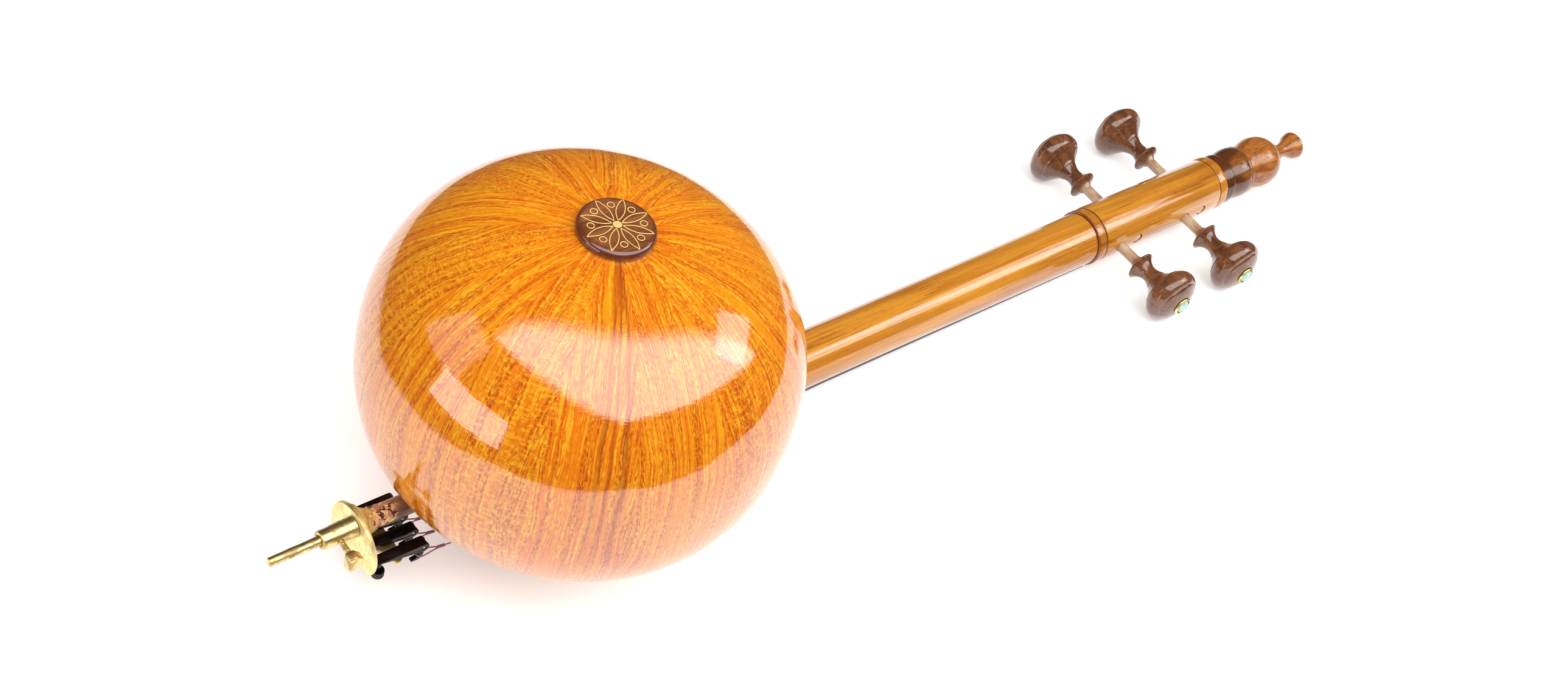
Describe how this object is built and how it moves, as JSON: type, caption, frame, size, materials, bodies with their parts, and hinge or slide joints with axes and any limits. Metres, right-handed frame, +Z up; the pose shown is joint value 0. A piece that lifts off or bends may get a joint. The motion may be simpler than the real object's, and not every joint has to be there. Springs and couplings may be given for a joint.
{
  "type": "spike fiddle",
  "caption": "Bowed spike fiddle lying face down: round staved bowl, turned neck, slotted pegbox with friction pegs, turned finial and brass tail with fine tuners.",
  "frame": {"origin": "on the table, under the middle of the whole length and width, with the instrument face down", "axes": "+X along the neck from the spike tip to the finial, +Z up from the strings to the back of the bowl, +Y to the right of +X seen from below"},
  "size_m": [0.711, 0.2, 0.1803],
  "materials": {
    "stave": "clear glossy lacquer over orange stave wood",
    "neck": "glossy lacquer over golden brown wood",
    "peg": "dark walnut, satin, worn pale on the shafts",
    "disc": "dark red-brown, polished, thin gold inlay lines",
    "board": "dark, satin",
    "bone": "polished bone white",
    "maple": "bare, fine grained",
    "spruce": "bare, sawn",
    "skin": "thin stretched membrane",
    "brass": "worn, brushed",
    "oxide": "heat-stained brown, rough braze",
    "black": "gloss black",
    "steel": "bright",
    "string": "wound wire, mauve silk at the ends",
    "turquoise": "polished"
  },
  "bodies": {
    "instrument": {"bowl_shell": "stave", "back_disc": "disc", "rim_hoop": "spruce", "skin": "skin", "skin_binding": "board", "tail_block": "spruce", "neck_block": "spruce", "neck_dowel": "maple", "through_rod": "steel", "neck": "neck", "fingerboard": "board", "nut": "bone", "pegbox": "neck", "finial": "neck", "tail_tube": "oxide", "tail_plate": "brass", "spike_socket": "brass", "tuner_deck": "brass", "bridge": "maple", "tuner_body_1": "black", "tuner_pin_1": "steel", "string_1": "string", "tuner_body_2": "black", "tuner_pin_2": "steel", "string_2": "string", "tuner_body_3": "black", "tuner_pin_3": "steel", "string_3": "string", "tuner_body_4": "black", "tuner_pin_4": "steel", "string_4": "string"},
    "rod": {"spike_rod": "brass"},
    "clamp": {"clamp_screw": "brass"},
    "peg_1_body": {"peg_1": "peg", "peg_bezel_1": "brass", "peg_stone_1": "turquoise"},
    "screw_1": {"tuner_screw_1": "black"},
    "lever_1": {"tuner_lever_1": "black", "string_loop_1": "steel"},
    "peg_2_body": {"peg_2": "peg", "peg_bezel_2": "brass", "peg_stone_2": "turquoise"},
    "screw_2": {"tuner_screw_2": "black"},
    "lever_2": {"tuner_lever_2": "black", "string_loop_2": "steel"},
    "peg_3_body": {"peg_3": "peg", "peg_bezel_3": "brass", "peg_stone_3": "turquoise"},
    "screw_3": {"tuner_screw_3": "black"},
    "lever_3": {"tuner_lever_3": "black", "string_loop_3": "steel"},
    "peg_4_body": {"peg_4": "peg", "peg_bezel_4": "brass", "peg_stone_4": "turquoise"},
    "screw_4": {"tuner_screw_4": "black"},
    "lever_4": {"tuner_lever_4": "black", "string_loop_4": "steel"}
  },
  "joints": [
    {"name": "peg_1_turn", "type": "hinge", "parent": "instrument", "child": "peg_1_body", "pos_m": [0.17859, 0, 0.0164], "axis": [0, 1, 0], "continuous": true},
    {"name": "peg_2_turn", "type": "hinge", "parent": "instrument", "child": "peg_2_body", "pos_m": [0.23419, 0, 0.0164], "axis": [0, 1, 0], "continuous": true},
    {"name": "peg_3_turn", "type": "hinge", "parent": "instrument", "child": "peg_3_body", "pos_m": [0.24889, 0, 0.0164], "axis": [0, 1, 0], "continuous": true},
    {"name": "peg_4_turn", "type": "hinge", "parent": "instrument", "child": "peg_4_body", "pos_m": [0.19309, 0, 0.0164], "axis": [0, 1, 0], "continuous": true},
    {"name": "spike_slide", "type": "slide", "parent": "instrument", "child": "rod", "axis": [-1, 0, 0], "range_m": [-0.02, 0.03]},
    {"name": "clamp_turn", "type": "hinge", "parent": "instrument", "child": "clamp", "pos_m": [-0.32309, 0, 0.0398], "axis": [0, -1, 0], "range_deg": [0, 720]},
    {"name": "tuner_screw_1_turn", "type": "hinge", "parent": "instrument", "child": "screw_1", "pos_m": [-0.30769, -0.0135, 0.0185], "axis": [0, 0, 1], "range_deg": [0, 670]},
    {"name": "tuner_lever_1_tilt", "type": "hinge", "parent": "instrument", "child": "lever_1", "pos_m": [-0.28619, -0.0135, 0.0253], "axis": [0, 1, 0], "range_deg": [0, 2.6]},
    {"name": "tuner_screw_2_turn", "type": "hinge", "parent": "instrument", "child": "screw_2", "pos_m": [-0.30769, -0.0045, 0.0185], "axis": [0, 0, 1], "range_deg": [0, 670]},
    {"name": "tuner_lever_2_tilt", "type": "hinge", "parent": "instrument", "child": "lever_2", "pos_m": [-0.28619, -0.0045, 0.0253], "axis": [0, 1, 0], "range_deg": [0, 2.6]},
    {"name": "tuner_screw_3_turn", "type": "hinge", "parent": "instrument", "child": "screw_3", "pos_m": [-0.30769, 0.0045, 0.0185], "axis": [0, 0, 1], "range_deg": [0, 670]},
    {"name": "tuner_lever_3_tilt", "type": "hinge", "parent": "instrument", "child": "lever_3", "pos_m": [-0.28619, 0.0045, 0.0253], "axis": [0, 1, 0], "range_deg": [0, 2.6]},
    {"name": "tuner_screw_4_turn", "type": "hinge", "parent": "instrument", "child": "screw_4", "pos_m": [-0.30769, 0.0135, 0.0185], "axis": [0, 0, 1], "range_deg": [0, 670]},
    {"name": "tuner_lever_4_tilt", "type": "hinge", "parent": "instrument", "child": "lever_4", "pos_m": [-0.28619, 0.0135, 0.0253], "axis": [0, 1, 0], "range_deg": [0, 2.6]}
  ],
  "couplings": [
    {"joint": "tuner_lever_1_tilt", "follows": "tuner_screw_1_turn", "ratio": 0.0037},
    {"joint": "tuner_lever_2_tilt", "follows": "tuner_screw_2_turn", "ratio": 0.0037},
    {"joint": "tuner_lever_3_tilt", "follows": "tuner_screw_3_turn", "ratio": 0.0037},
    {"joint": "tuner_lever_4_tilt", "follows": "tuner_screw_4_turn", "ratio": 0.0037}
  ]
}
